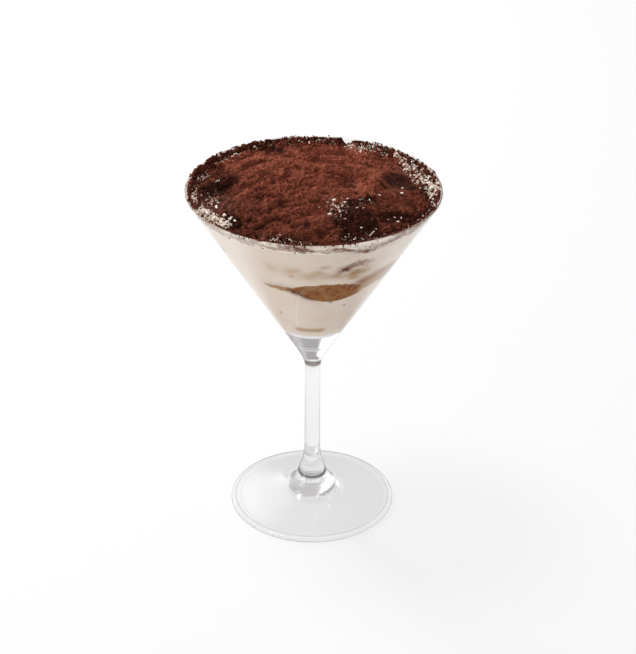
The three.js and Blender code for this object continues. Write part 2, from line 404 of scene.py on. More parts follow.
def glass_material():
    """Clear glass, with painted dark outlines where it is seen edge on and at the foot's border, painted
    brown rings at its joints for the dessert seen through it, and a painted light band at the foot's rim.
    Light and shade pass through it.
    """
    material, t, p = new_material("clear_glass")
    # painted dark outline where the glass is seen edge on, as strong as its mask says
    rim = t.ranged(t.add("ShaderNodeLayerWeight").outputs["Facing"], 0.66, 0.9)
    body = t.mixed(t.maths("MULTIPLY", rim, t.attribute("painted_outline_share")), GLASS_CLEAR, GLASS_PAINTED_OUTLINE)
    painted_tone = t.attribute("painted_tone")
    # painted light band between the foot's painted outlines
    body = t.mixed(t.ranged(painted_tone, 0.0, -0.5), body, GLASS_LIGHT_BAND)
    # painted dark: the joints' painted reflection of the dessert, and the foot's painted outlines
    t.put(t.mixed(t.maths("MAXIMUM", painted_tone, 0.0), body, GLASS_PAINTED_DARK), p.inputs["Base Color"])
    p.inputs["Roughness"].default_value = 0.0
    p.inputs["IOR"].default_value = 1.5
    p.inputs["Transmission Weight"].default_value = 1.0
    path = t.add("ShaderNodeLightPath").outputs
    solid = p.outputs["BSDF"]
    inner = t.mixed_shaders(t.attribute("leak"), solid, t.clear(LEAKED))
    outside = t.mixed_shaders(path["Transmission Depth"], t.clear(BEHIND_GLASS), inner)
    surface = t.mixed_shaders(path["Is Transmission Ray"], solid, inner)
    surface = t.mixed_shaders(path["Is Reflection Ray"], surface, outside)
    surface = t.mixed_shaders(path["Is Diffuse Ray"], surface, t.clear(LIGHT_THROUGH))
    surface = t.mixed_shaders(path["Is Shadow Ray"], surface, t.clear(SHADE_THROUGH))
    t.put(surface, t.nodes["Material Output"].inputs["Surface"])
    return material


BUMP_DEPTH = 0.0004
SOAK_DEPTH = 0.0015  # how far light soaks into cream and wet sponge
SOAK_COLOURS = (1.0, 0.7, 0.45)


def stained(t, looks, place, colour):
    """Coffee and cocoa washed over a colour where the stain mask says, with crumbs where it is strongest."""
    stain = t.attribute("stain")
    cloud = t.ranged(t.noise(place, STAIN_CLOUDS, 5.0, 0.6), 0.34, 0.6, 0.55, 1.0)
    washed = t.mixed(t.maths("MULTIPLY", stain, cloud), colour, STAIN)
    crumby = t.ranged(stain, 0.75, 1.0, 0.0, 0.9)
    crumbs = t.group(looks["speckle"], place=place, share=crumby, scale=STAIN_CRUMBS, soft=0.05)["Mask"]
    return t.mixed(crumbs, washed, CRUMB)


def layer_material(name, looks):
    """What shows through the wall: cream, soaked sponge and cocoa stains, as the piece's masks say, and a
    painted glint, a pale ring at the bottom of the contents.
    """
    material, t, p = new_material(name)
    place = t.place()
    cream = t.group(looks["cream"], place=place)
    crumb = t.noise(place, SPONGE_CRUMB, 5.0, 0.65)
    sponge = t.mixed(t.ranged(crumb, 0.35, 0.65), SPONGE_BROWN, SPONGE_LIGHT)
    flecks = t.group(looks["speckle"], place=place, share=0.2, scale=SPONGE_FLECKS, soft=0.04)["Mask"]
    sponge = t.mixed(flecks, sponge, SPONGE_FLECK)
    sponge_and_glint = t.attribute("sponge")
    # below 0 the sponge mask paints the glint of the bowl's inner bottom
    shown = t.mixed(t.ranged(sponge_and_glint, 0.0, -0.5), cream["Colour"], PAINTED_GLINT_RING)
    shown = t.mixed(t.ranged(sponge_and_glint, 0.0, 0.5), shown, CREAM_SOAKED)
    shown = t.mixed(t.ranged(sponge_and_glint, 0.5, 1.0), shown, sponge)
    t.put(stained(t, looks, place, shown), p.inputs["Base Color"])
    p.inputs["Roughness"].default_value = 0.5
    p.inputs["Specular IOR Level"].default_value = 0.05
    p.inputs["Subsurface Weight"].default_value = 0.35
    p.inputs["Subsurface Radius"].default_value = SOAK_COLOURS
    p.inputs["Subsurface Scale"].default_value = SOAK_DEPTH
    t.put(t.bump(crumb, 0.2, BUMP_DEPTH), p.inputs["Normal"])
    return material


def flecked_cream(t, cream):
    """Cream that lies open in the light, and so is paler than behind the glass."""
    return t.mixed(0.8, cream["Colour"], CREAM_FLECK)


def cream_material(looks):
    """The crumbs and curls of cream that lie on the cocoa."""
    material, t, p = new_material("mascarpone_cream")
    cream = t.group(looks["cream"], place=t.place())
    t.put(flecked_cream(t, cream), p.inputs["Base Color"])
    p.inputs["Roughness"].default_value = 0.6
    t.put(t.bump(cream["Height"], 0.3, BUMP_DEPTH), p.inputs["Normal"])
    return material


def powder_material(name, looks):
    """Cocoa with cream breaking through it where the curds mask says."""
    material, t, p = new_material(name)
    place = t.place()
    cocoa = t.group(looks["cocoa"], place=place, damp=t.attribute("damp"), grey=t.attribute("grey"))
    share = t.attribute("curds")
    curds = t.group(looks["speckle"], place=place, share=share, scale=CURD_FLECKS, soft=0.03)["Mask"]
    cream = flecked_cream(t, t.group(looks["cream"], place=place))
    t.put(t.mixed(curds, cocoa["Colour"], stained(t, looks, place, cream)), p.inputs["Base Color"])
    t.put(cocoa["Roughness"], p.inputs["Roughness"])
    p.inputs["Specular IOR Level"].default_value = 0.05
    t.put(t.bump(cocoa["Height"], 0.8, BUMP_DEPTH), p.inputs["Normal"])
    return material


# ---------------------------------------------------------------- the glass

RINGS = [  # height, rise, half its height
    (19.5, 0.15, 1.2), (77.4, -0.12, 0.4), (88.0, -0.22, 0.35),
]
PAINTED_BROWN_RINGS = [  # painted reflection of the dessert's brown at the two joints: height, half its height and how dark it is painted
    (17.2, 1.1, 0.3), (77.0, 1.1, 1.0),
]
RING_REACH = 92.0  # height up to which the cone is fine enough for a ring
BORDER = (37.1, 2.27)  # radius and height of the line inside which the foot's top begins to rise
BORDER_SHADE_LINE, EDGE_SHADE_LINE, LINE_WIDTH = 0.5, 0.8, 0.3  # painted dark outlines at the border and under the foot's edge
EDGE_LINE = 0.4  # height of the painted outline under the edge
# how strongly the light band between the border's lines is painted
BORDER_LIGHT_BAND = 0.5
UNDER_FOOT = ((16, FOOT_HOLLOW), (28, 1.2))  # handles of the foot's curves
OVER_FOOT = ((26, 4.6), (14, 6.6))
UP_FLARE = ((7.7, 13.25), (STEM_BOTTOM_RADIUS, 22))
STEM_EASE, CONE_EASE = 6, 4  # how far the joint between stem and cone reaches into each
GLASS_STEPS = 240
FLARE_OUTLINE, FLARE_HEIGHTS, FLARE_RADII = 0.3, (16, 26), (20, 30)  # how strong the painted outline is in the low flare, and where the flare ends
# how strong the painted outline is in the thin bowl
BOWL_OUTLINE = 0.25
LEAK, LEAK_HEIGHTS, LEAK_RADII = 0.35, (19, 24), (12, 18)


def stretch(value, begin, end):
    """1 along a stretch that comes in softly over the first pair of values and goes over the second."""
    return smooth(value, *begin) * (1 - smooth(value, *end))


def bell(value, middle, half):
    """1 in the middle, falling away softly to both sides."""
    return math.exp(-(((value - middle) / half) ** 2))


def ringed(points):
    """The fine rings where the stem was joined on."""
    return [Vector((p.x + sum(rise * bell(p.y, at, half) for at, rise, half in RINGS), p.y)) for p in points]


def glass_outline():
    """From the hollow under the foot, up the outside, over the lip and down to the bowl's floor."""
    right = math.pi / 2
    edge = FOOT_EDGE / 2
    slope = math.tan(OUTER_HALF_ANGLE)
    stem_bottom, stem_top = (STEM_BOTTOM_RADIUS, STEM_BOTTOM), (STEM_TOP_RADIUS, STEM_TOP)
    cone_bottom = (CONE_BOTTOM_RADIUS, CONE_BOTTOM)
    cone_ease = (CONE_BOTTOM_RADIUS - CONE_EASE * slope, CONE_BOTTOM - CONE_EASE)
    ring_end = (OUTER_LIP[0] - (OUTER_LIP[1] - RING_REACH) * slope, RING_REACH)
    flare = (FLARE_RADIUS, FLARE_HEIGHT)
    floor_join = arc((0, FLOOR_CENTRE), FLOOR_RADIUS, -INNER_HALF_ANGLE, -right, 28)
    runs = [
        bezier([(0, FOOT_HOLLOW), *UNDER_FOOT, (REST_RING_RADIUS, 0)], 20),
        arc((FOOT_RADIUS - edge, edge), edge, -right, right, 20),
        straight((FOOT_RADIUS - edge, FOOT_EDGE), BORDER, 6),
        bezier([BORDER, *OVER_FOOT, flare], 60),
        ringed(bezier([flare, *UP_FLARE, stem_bottom], 60)),
        straight(stem_bottom, stem_top, 6),
        ringed(bezier([stem_top, (STEM_TOP_RADIUS, STEM_TOP + STEM_EASE), cone_ease, cone_bottom], 50)),
        ringed(straight(cone_bottom, ring_end, 50)),
        straight(ring_end, OUTER_LIP, 14),
        arc(LIP_CENTRE, LIP_RADIUS, -OUTER_HALF_ANGLE, math.pi - INNER_HALF_ANGLE, 10),
        straight(INNER_LIP, floor_join[0], 12),
        floor_join,
    ]
    points = [p for run in runs for p in run]
    kept = [points[0]]
    for p in points[1:]:
        if (p - kept[-1]).length > 10 * MERGE:
            kept.append(p)
    kept[0].x = kept[-1].x = 0.0
    return kept


def foot_border(r, z):
    """Painted dark outlines at the two lines of the foot's border, and a painted light band, below 0, between
    them.
    """
    edge = FOOT_RADIUS - FOOT_EDGE / 2
    under = EDGE_SHADE_LINE * bell(z, EDGE_LINE, LINE_WIDTH) * smooth(r, edge + 0.3, edge + 0.7)
    inner = BORDER_SHADE_LINE * bell(r, BORDER[0], LINE_WIDTH) * smooth(z, 1.2, FOOT_EDGE)
    painted_tone = max(under, inner)
    inside, outside = (BORDER[0] - 0.3, BORDER[0] + 0.5), (FOOT_RADIUS - 0.5, FOOT_RADIUS - 0.2)
    return painted_tone - BORDER_LIGHT_BAND * stretch(r, inside, outside) * (1 - painted_tone)


def painted_glass_tone(x, y, z):
    """How much dark tone is painted on the glass: up to 1 at the joints of the stem, a painted reflection of
    the dessert's brown, and at the foot's border painted dark outlines and a painted light band.
    """
    r = math.hypot(x, y)
    if z < FOOT_EDGE + 1.5 and r > REST_RING_RADIUS:
        return foot_border(r, z)
    if r > CONE_BOTTOM_RADIUS:
        return 0.0
    return max(share * bell(z, at, half) for at, half, share in PAINTED_BROWN_RINGS)


def painted_outline(x, y, z):
    """How strong the painted dark outline is where the glass is seen edge on: weaker in the thin bowl and in
    the low flare.
    """
    beyond = max(smooth(z, *FLARE_HEIGHTS), smooth(math.hypot(x, y), *FLARE_RADII))
    return min(mix(FLARE_OUTLINE, 1.0, beyond), mix(1.0, BOWL_OUTLINE, smooth(z, CONE_BOTTOM, BOWL_FLOOR)))


def glass_leak(x, y, z):
    """How much of the light that is caught in the low flare gets out straight, so that it isn't black."""
    return LEAK * (1 - smooth(z, *LEAK_HEIGHTS)) * (1 - smooth(math.hypot(x, y), *LEAK_RADII))


def add_glass():
    ob = finish_mesh(turned(glass_outline(), GLASS_STEPS), "cocktail_glass", glass_material())
    for name, mask in (("painted_tone", painted_glass_tone), ("painted_outline_share", painted_outline), ("leak", glass_leak)):
        write_mask(ob, name, mask)
    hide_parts("glass")
    return ob


# ---------------------------------------------------------------- the bed of the cocoa

UNDER_COCOA = 1.5  # how much deeper the cream lies in the middle, where the ripples cut in
HEAP = 1.2
HUMPS = [  # x, y, reach along, reach across, turn of the long side from +X in degrees, rise
    (28, -3, 22, 4.0, 79, 3.0),
    (39, 7, 13, 8, 124, -2.6),
    (18, -35, 14, 12, 10, 2.2),
    (-39, 5, 16, 7, 60, -2.6),
    (-6, 16, 28, 12, 160, 1.5),
    (16, 13, 17, 5, 132, -1.2),
    (-20, 43, 7, 4, -20, 1.4),
    (41, -27, 10, 6, 30, -1.2),
]


def hump(x, y, at_x, at_y, along, across, turn):
    """A soft oval rise, 1 in its middle."""
    dx, dy = x - at_x, y - at_y
    if dx * dx + dy * dy > 7 * along * along:
        return 0.0
    a = math.radians(turn)
    u = (dx * math.cos(a) + dy * math.sin(a)) / along
    v = (dy * math.cos(a) - dx * math.sin(a)) / across
    return math.exp(-u * u - v * v)


def bed(x, y):
    """The mound without its ripples and grain. At the back and the sides it is heaped against the glass."""
    share = clamp(math.hypot(x, y) / bowl_radius(FILL_HEIGHT))
    rise = sum(h[-1] * hump(x, y, *h[:-1]) for h in HUMPS)
    heap = HEAP * smooth(share, 0.85, 1.0) * smooth(abs(turn_of(x, y)), 45, 80)
    return mix(CROWN_HEIGHT, FILL_HEIGHT, share**3) + rise * (1 - share**6) + heap


def cream_top(x, y):
    """The face of the cream that the cocoa lies on."""
    share = clamp(math.hypot(x, y) / bowl_radius(FILL_HEIGHT))
    return bed(x, y) - COCOA_THICKNESS - UNDER_COCOA * (1 - share**4)


# ---------------------------------------------------------------- layers of the contents

# turn, half its width and depth of each finger's end at the wall
LOWER_FINGERS = [(13, 27, 12.8), (44, 26, 7), (108, 25, 11), (187, 28, 12.5), (262, 24, 10)]
UPPER_FINGERS = [(-10, 24, 9), (38, 22, 7), (120, 30, 9), (215, 26, 8.5), (290, 22, 7.5)]
CORE_THICKNESS = 10.0
STREAK_THICKNESS = 1.6  # at the wall between the fingers
THINNEST = 0.4
RAGGED, RAGGED_LENS = 0.6, 0.5  # unevenness of the biscuit's faces, and of the one above the bare front end


def finger_depth(fingers, turn):
    """How thick a biscuit layer is at the wall."""
    depths = [STREAK_THICKNESS]
    for at, half, depth in fingers:
        off = turn_off(turn, at) / half
        if abs(off) < 1:
            depths.append(depth * math.sqrt(1 - off * off))
    return max(depths)


def dip(x, y):
    """The sag of a layer, 0 at the rim's radius."""
    return -SAG * (1 - (x * x + y * y) / RIM_RADIUS**2)


def ragged(x, y, seed, rise):
    """Unevenness of a layer's face, in three sizes. The seed picks the noise."""
    z = seed * 37.0
    return rise * (rough(x, y, z, 9) + 0.5 * rough(x, y, z, 3) + 0.3 * rough(x, y, z, 1.2))


def lower_biscuit_top(x, y):
    return LOWER_BISCUIT_TOP + LOWER_BISCUIT_TILT * x + dip(x, y) + ragged(x, y, 2, RAGGED_LENS)


def biscuit_depth(fingers, core, x, y, reach):
    """Thickness of a biscuit layer: the core's inside, and the fingers' towards the wall."""
    share = smooth(math.hypot(x, y) / reach, 0.45, 0.95)
    return mix(core, finger_depth(fingers, turn_of(x, y)), share)


def lower_biscuit_bottom(x, y):
    depth = biscuit_depth(LOWER_FINGERS, CORE_THICKNESS, x, y, bowl_radius(LOWER_BISCUIT_TOP))
    return lower_biscuit_top(x, y) - max(depth + ragged(x, y, 3, RAGGED), THINNEST)


def upper_biscuit_top(x, y):
    return UPPER_BISCUIT_TOP + dip(x, y) + ragged(x, y, 4, RAGGED)


def upper_biscuit_bottom(x, y):
    full = UPPER_BISCUIT_TOP - UPPER_BISCUIT_BOTTOM
    depth = biscuit_depth(UPPER_FINGERS, full, x, y, bowl_radius(UPPER_BISCUIT_TOP))
    return upper_biscuit_top(x, y) - max(depth + ragged(x, y, 5, RAGGED), THINNEST)


LAYER_STEPS = 480
LAYER_SHARES = [0, 0.3, 0.55, 0.72, 0.84, 0.93, 1.0]  # where the rings of a layer's faces lie
EDGE_GUESS, EDGE_ROUNDS = 40.0, 10


def edge_of(face, direction):
    """Radius and height at which a face meets the wall, in one direction."""
    r = EDGE_GUESS
    for _ in range(EDGE_ROUNDS):
        r = bowl_radius(face(r * direction.x, r * direction.y))
    return r, face(r * direction.x, r * direction.y)


def layer_piece(name, node, bottom, top, wall_rows, material):
    """One layer: a drum of unit shares, moved onto its two faces and the bowl's wall."""
    outline = [(s, 0.0) for s in LAYER_SHARES]
    outline += [(1.0, row / wall_rows) for row in range(1, wall_rows)]
    outline += [(s, 1.0) for s in reversed(LAYER_SHARES)]
    bm = turned(outline, LAYER_STEPS)
    edges = {}
    for v in bm.verts:
        share, level = math.hypot(v.co.x, v.co.y), v.co.z
        direction = Vector((v.co.x, v.co.y)) / share if share > TINY else Vector((0, -1))
        key = (round(direction.x, 5), round(direction.y, 5))
        if key not in edges:
            edges[key] = (edge_of(bottom, direction), edge_of(top, direction))
        (low, low_z), (high, high_z) = edges[key]
        if TINY < level < 1 - TINY:
            z = mix(low_z, high_z, level)
            r = bowl_radius(z)
        else:
            face, r = (bottom, share * low) if level < 0.5 else (top, share * high)
            z = face(r * direction.x, r * direction.y)
        v.co = (r * direction.x, r * direction.y, z)
    bmesh.ops.recalc_face_normals(bm, faces=bm.faces)
    ob = finish_mesh(bm, name, material)
    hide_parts(node)
    return ob


LENS_TOP = (8, 139.5, 0.0060)  # turn, height, and its fall to both sides, of the front finger's bare end
LENS_BOTTOM = (16, 126.6, 0.0079)  # and its rise
# bare ends of the fingers on the sides and back: turn, height, half its length, half its height, how bare
BARE_ENDS = [
    (108, 134.0, 20, 4.5, 0.55), (187, 133.5, 22, 5.0, 0.9), (262, 134.5, 18, 4.0, 0.6),
    (120, 148.5, 24, 3.6, 0.75), (215, 149.0, 20, 3.4, 0.5), (290, 149.0, 17, 3.0, 0.35),
]
# sponge behind a film of cream: turn, height, half its length, half its height, how brown
SOAKED_CLOUDS = [
    (-15, 148.5, 8, 4.0, 0.22), (-12, 145.5, 3, 1.8, 0.34), (2, 147.0, 7, 3.2, 0.44),
    (13, 146.0, 8, 2.6, 0.42), (26, 146.0, 9, 3.2, 0.42), (24, 142.6, 8, 1.6, 0.38),
    (5, 146.5, 20, 3.2, 0.34), (20, 144.6, 9, 2.4, 0.4), (-21, 149.8, 8, 4.0, 0.26),
    (-11, 149.5, 7, 4.0, 0.32), (35, 139.0, 8, 2.4, 0.5), (46, 141.5, 9, 2.6, 0.4),
    (150, 104.0, 60, 1.6, 0.5), *((turn, 104.5, 9, 1.7, 0.5) for turn in (-18, -11, -4, 3, 9)),
]
STAINS = [  # turn, height, half its length, half its height, how dark
    (6, 152.1, 3, 1.3, 0.45), (-14, 134.2, 3, 1.3, 1.1), (14, 126.2, 1.8, 0.7, 1.1),
    (-22, 137.4, 9, 1.0, 0.35), (33, 137.8, 7, 1.8, 0.6), (42, 140.0, 12, 3.2, 0.42),
    (-35, 115.2, 1.0, 0.7, 1.1), (28, 122.0, 1.0, 0.7, 1.0), (10, 133.0, 10, 2.0, 0.15),
    (135, 152.0, 12, 0.9, 0.6), (205, 137.0, 14, 1.0, 0.6), (25, 161.4, 7, 1.3, 0.75),
    (13, 162.9, 5, 0.9, 0.6), (-4, 134.0, 12, 0.8, 0.3), (17.5, 149.6, 4.2, 2.2, 1.05),
    (24, 146.0, 9, 3.2, 0.3), (33, 162.8, 9, 1.9, 0.8), (43, 164.0, 8, 1.5, 0.7),
]
UNEVEN_FROM = (106, 110)  # heights over which the clouds grow uneven
GLINT_RING_TOP = 100.4  # of the painted glint, a pale ring at the bottom of the contents
LENS_FADE = (27, 36)  # turns where the bare end starts to fade and where it ends, at its right
CRUMBS_FROM, CRUMBS_TO = (-20, -15), (-4, 8)
STREAK_FROM, STREAK_TO = (-37, -31), (-14, -9)
STREAK_HEIGHT, STREAK_FALL, STREAK_END = 135.2, 0.045, -14
BAND_FROM, BAND_TO = (26, 34), (62, 80)
BAND_EDGES = [(138.2, 6.2, 27, 54), (130.4, 2.4, 30, 50)]  # height, rise, and the turns it rises between
SMUDGE_FROM, SMUDGE_TO = (10, 16), (26, 36)
SMUDGE_LINES = [(148.6, 0.42, 14), (152.3, -0.07, 23)]  # height at a turn, and rise for each degree
LINE_HEIGHT, LINE_DIP, LINE_DIP_AT = 164.6, 3.9, 26  # of the cocoa's edge at the wall


def blot(turn, z, at, height, half_turn, half_height, share):
    """A soft blot on the wall, whose middle has the share."""
    u = turn_off(turn, at) / half_turn
    v = (z - height) / half_height
    return share * math.exp(-u * u - v * v)


def lens_gaps(turn, z):
    """How far a place is below the top edge and above the bottom edge of the front finger's bare end."""
    top_at, top, fall = LENS_TOP
    low_at, low, rise = LENS_BOTTOM
    uneven = 0.5 * around(turn, 3, z, 12) + 0.5 * around(turn, 1.1, z, 13)
    over = top - fall * turn_off(turn, top_at) ** 2 + uneven - z
    under = z - low - rise * turn_off(turn, low_at) ** 2 + uneven
    return over, under


def front_lens(turn, z):
    """1 inside the bare end of the front finger, which is pointed at its left and fades out at its right."""
    inside = smooth(min(lens_gaps(turn, z)), -0.2, 0.3)
    thin, end = (turn_off(turn, at) for at in LENS_FADE)
    return inside * mix(1.0, 0.85, smooth(thin, 0, 7)) * (1 - smooth(end, -3, 4))


def lens_crumbs(turn, z):
    """Dark crumbs along the lower left edge of the bare end."""
    under = lens_gaps(turn, z)[1]
    half = mix(1.9, 1.1, smooth(turn, -14, 0))
    return 0.95 * stretch(turn, CRUMBS_FROM, CRUMBS_TO) * bell(under, -0.1, half)


def strokes(turn, off, seed, half, length, strength):
    """Brush strokes about half to each side of a line on the wall, from a height above that line."""
    grain = 0.8 * noise.noise(Vector((turn / length, off / 1.9, seed)))
    grain += 0.45 * noise.noise(Vector((turn / 2.2, off / 1.1, seed)))
    return strength * smooth(grain + 0.75 * (1 - (off / half) ** 2), 0.0, 0.85)


def left_streak(turn, z):
    """A thin line of sponge that runs out to the left of the front finger."""
    middle = STREAK_HEIGHT - STREAK_FALL * (turn_off(turn, STREAK_END) - STREAK_END)
    half = mix(1.1, 2.4, smooth(turn, -36, -13))
    inside = 1 - smooth(abs(z - middle + 0.3 * around(turn, 2, z, 14)), 0.5 * half, half)
    return 0.75 * inside * stretch(turn, STREAK_FROM, STREAK_TO)


def right_band(turn, z):
    """Sponge behind a thin film of cream, rising to the right of the front finger."""
    top, low = (height + rise * smooth(turn, start, end) for height, rise, start, end in BAND_EDGES)
    uneven = 0.5 * around(turn, 3, z, 15)
    inside = smooth(min(top - z, z - low) + uneven, -0.6, 1.6)
    return 0.58 * inside * stretch(turn, BAND_FROM, BAND_TO)


def sponge_and_glint_shown(x, y, z):
    """How much soaked sponge shows at the wall, from 0 to 1, and below 0 where a painted glint of the glass,
    a pale ring, lies under it.
    """
    turn = turn_of(x, y)
    value = max(front_lens(turn, z), left_streak(turn, z), right_band(turn, z))
    uneven = 1 + 0.7 * around(turn, 5, z, 25) * smooth(z, *UNEVEN_FROM)
    value = max(value, uneven * max(blot(turn, z, *cloud) for cloud in SOAKED_CLOUDS))
    for at, height, half, half_height, share in BARE_ENDS:
        u, v = turn_off(turn, at) / half, (z - height) / half_height
        ragged_edge = 0.35 * around(turn, 7, z, 26) + 0.15 * around(turn, 2, z, 27)
        value = max(value, share * (1 - smooth(math.hypot(u, v) + ragged_edge, 0.6, 1.05)))
    # below 0: the painted glint at the bottom of the contents
    return clamp(value) - 0.5 * smooth(z, GLINT_RING_TOP, GLINT_RING_TOP - 1.4)


def cocoa_line(turn):
    """Height at which the cocoa's edge shows through the wall."""
    return LINE_HEIGHT - LINE_DIP * bell(turn_off(turn, LINE_DIP_AT), 0, 8) + 0.35 * around(turn, 7, 0, 44)


def stain_shown(x, y, z):
    """How much coffee and cocoa has run into what shows at the wall, from 0 to 1."""
    turn = turn_of(x, y)
    value = max(blot(turn, z, *stain) for stain in STAINS)
    rising = min(height + rise * turn_off(turn, at) for height, rise, at in SMUDGE_LINES)
    smudge = strokes(turn, z - rising, 51.0, 3.4, 8, 0.8) * stretch(turn, SMUDGE_FROM, SMUDGE_TO)
    edge = strokes(turn, z - cocoa_line(turn), 52.0, 2.3, 9, 0.86) * mix(0.75, 1.0, smooth(turn, -28, -6))
    return clamp(max(value, smudge, edge, lens_crumbs(turn, z)))


def add_layers(looks):
    """The soaked base and the five layers above it, each with its material slot."""
    cream = layer_material("layered_cream", looks)
    biscuit = layer_material("soaked_biscuit", looks)
    floor = arc((0, FLOOR_CENTRE), FLOOR_RADIUS + INTO_WALL, -math.pi / 2, -INNER_HALF_ANGLE, 24)
    reach = bowl_radius(BASE_TOP)
    outline = [p for p in floor if p.x < reach] + [Vector((reach, BASE_TOP)), Vector((0, BASE_TOP))]
    outline[0].x = 0.0
    base = finish_mesh(turned(outline, GLASS_STEPS), "soaked_base", biscuit)
    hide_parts("biscuit_base")
    stack = [
        ("lower_cream", "cream_lower", lambda x, y: BASE_TOP, lower_biscuit_bottom, 30, cream),
        ("lower_fingers", "biscuit_lower", lower_biscuit_bottom, lower_biscuit_top, 28, biscuit),
        ("middle_cream", "cream_middle", lower_biscuit_top, upper_biscuit_bottom, 16, cream),
        ("upper_fingers", "biscuit_upper", upper_biscuit_bottom, upper_biscuit_top, 20, biscuit),
        ("upper_cream", "cream_upper", upper_biscuit_top, cream_top, 20, cream),
    ]
    pieces = [(base, "soaked_biscuit")]
    for name, node, bottom, top, rows, material in stack:
        slot = "soaked_biscuit" if material is biscuit else "cream"
        pieces.append((layer_piece(name, node, bottom, top, rows, material), slot))
    for ob, _ in pieces:
        ob.data.set_sharp_from_angle(angle=math.radians(40))
        # the sponge mask also carries the painted glint, below 0
        write_mask(ob, "sponge", sponge_and_glint_shown)
        write_mask(ob, "stain", stain_shown)
    return pieces


# ---------------------------------------------------------------- the cocoa on top

COCOA_CELLS = 290
UNDERSIDE_SHARES = (1.0, 0.93, 0.75, 0.5, 0.25, 0.0)  # where the rings of the mound's underside lie

RIM_CURDS = [  # turn, half its length, how far in from the wall, how much cream
    (-87, 17, 3.5, 0.45),
    (-60, 15, 7.0, 0.9),
    (-131, 13, 4.5, 0.6),
    (-107, 9, 3.0, 0.2),
    (-148, 14, 3.5, 0.35),
    (-20, 30, 2.5, 0.25),
    (35, 32, 3.0, 0.3),
    (70, 13, 2.5, 0.38),
    (93, 9, 6.0, 0.9),
    (112, 20, 11.0, 0.55),
    (138, 14, 5.0, 0.45),
    (155, 10, 12.0, 0.5),
    (180, 16, 3.5, 0.3),
]
CURD_SPOTS = [  # x, y, reach along, reach across, turn, how much cream
    (10.5, -24, 8, 4, 100, 0.13),
    (-51, 13, 4, 2, 70, 0.35),
    (-47, -12, 8, 3.5, 80, 0.18),
    (22, -46, 6, 3, 10, 0.12),
    (-9, -50, 9, 2.5, -15, 0.18),
    (22, -19, 3, 2, 0, 0.15),
]
DAMP_SPOTS = [  # x, y, reach along, reach across, turn, how dark
    (19, -38, 15, 9.5, 100, 1.15),
    (20, -19, 8, 4.5, 20, 0.95),
    (-42, 4, 13, 6.5, 60, 1.1),
    (-50, -2, 20, 5.5, 90, 0.72),
    (-35, -33, 8, 4, -70, 0.8),
    (39, 9, 10, 8, 124, 0.8),
    (51, 1, 8, 4, 100, 0.85),
    (38, -27, 14, 6, 12, 0.85),
    (-20, 43, 7.5, 4, -25, 0.85),
    (-8, -50, 12, 3.5, -15, 0.75),
]
LUMPY_SPOTS = [  # x, y, reach along, reach across, turn, how thickly the larger lumps of cream lie
    (-48, -23, 6, 2.4, -50, 1.0),
    (-40, -32, 5, 2.2, -45, 0.9),
    (53, 3, 5, 2.0, 95, 1.0),
]
# painted sheen on wet powder: x, y, reach along, reach across, turn, strength
PAINTED_SHEEN_SPOTS = [(-41, -14, 9, 5, -60, 0.4), (40, 5, 7, 6, 124, 0.12)]
CALM_SPOTS = [(37, 9, 11, 8, 124, 0.9), (-30, 32, 10, 5, 24, 0.4), (45, -12, 7, 5, 60, 0.4)]
FOLDS = [  # x, y, reach along, reach across, turn, rise
    (3.5, 29, 8, 2.6, 2, 1.0), (20, 9, 9, 3.0, -48, 1.3), (-11, 20, 6, 2.3, 8, 0.9),
    (-3, 1, 9, 3.0, 8, 1.1), (-22, 17, 5, 2.0, 22, 0.8), (-11, 32, 6, 2.2, 6, 0.9),
    (12, -8, 8, 2.6, -5, 1.0), (-27, 5, 8, 2.4, 30, 0.9), (-16, -12, 7, 2.6, 18, 0.9),
    (2, -27, 3, 8, 20, 0.9), (12, 38, 9, 2.4, -12, 0.8), (-30, 30, 9, 2.2, 24, 0.8),
]
FULL_SHARE = 1.7  # a spot's strength before it is cut off at 1, which flattens its middle


def spots(x, y, table):
    """The strongest of a table's spots at a place. Each is flat in its middle and soft at its edge."""
    return max(s[-1] * min(1.0, FULL_SHARE * hump(x, y, *s[:-1])) for s in table)


def rim_cream(turn):
    """How much cream there is among the cocoa at the wall, and how far in from the wall it reaches."""
    best = (0.15, 2.0)
    for at, half, inward, share in RIM_CURDS:
        off = turn_off(turn, at) / half
        if abs(off) < 1:
            best = max(best, (share * (1 - off**4), inward))
    return best


def curds(x, y, z=0.0):
    """How much cream breaks through the cocoa, from 0 to 1."""
    share, inward = rim_cream(turn_of(x, y))
    edge = bowl_radius(FILL_HEIGHT)
    value = share * smooth(math.hypot(x, y), edge - inward, edge - 0.3 * inward)
    value = max(value, spots(x, y, CURD_SPOTS))
    return clamp(value * (1 + 0.9 * rough(x, y, 5.0, 3)))


def damp(x, y, z=0.0):
    """Dark damp patches, and a darker ring at the wall, from 0 to 1."""
    value = spots(x, y, DAMP_SPOTS)
    value = max(value, 0.7 * smooth(math.hypot(x, y), 48, 54))
    value += 0.25 * rough(x, y, 3.1, 5) + 0.2 * rough(x, y, 8.4, 1.6)
    return smooth(value, 0.3, 0.85)


def grey(x, y, z=0.0):
    """Where the grey sheen of wet powder is painted into its colour, from 0 to 1."""
    return clamp(spots(x, y, PAINTED_SHEEN_SPOTS) * (1 + 0.8 * rough(x, y, 2.2, 2)))


def leaned(x, y, seed, along, across, lean):
    """Soft lumps that lean towards the front, so that their near sides are steep."""
    first = noise.noise(Vector((x / along, y / across, seed)))
    return noise.noise(Vector((x / along, (y + lean * first) / across, seed)))


def folds(x, y):
    """The placed folds, bent a little out of true."""
    uneven_x = x + 2.5 * rough(x, y, 31.0, 6)
    uneven_y = y + 2.0 * rough(x, y, 35.0, 5)
    return sum(f[-1] * hump(uneven_x, uneven_y, *f[:-1]) for f in FOLDS)


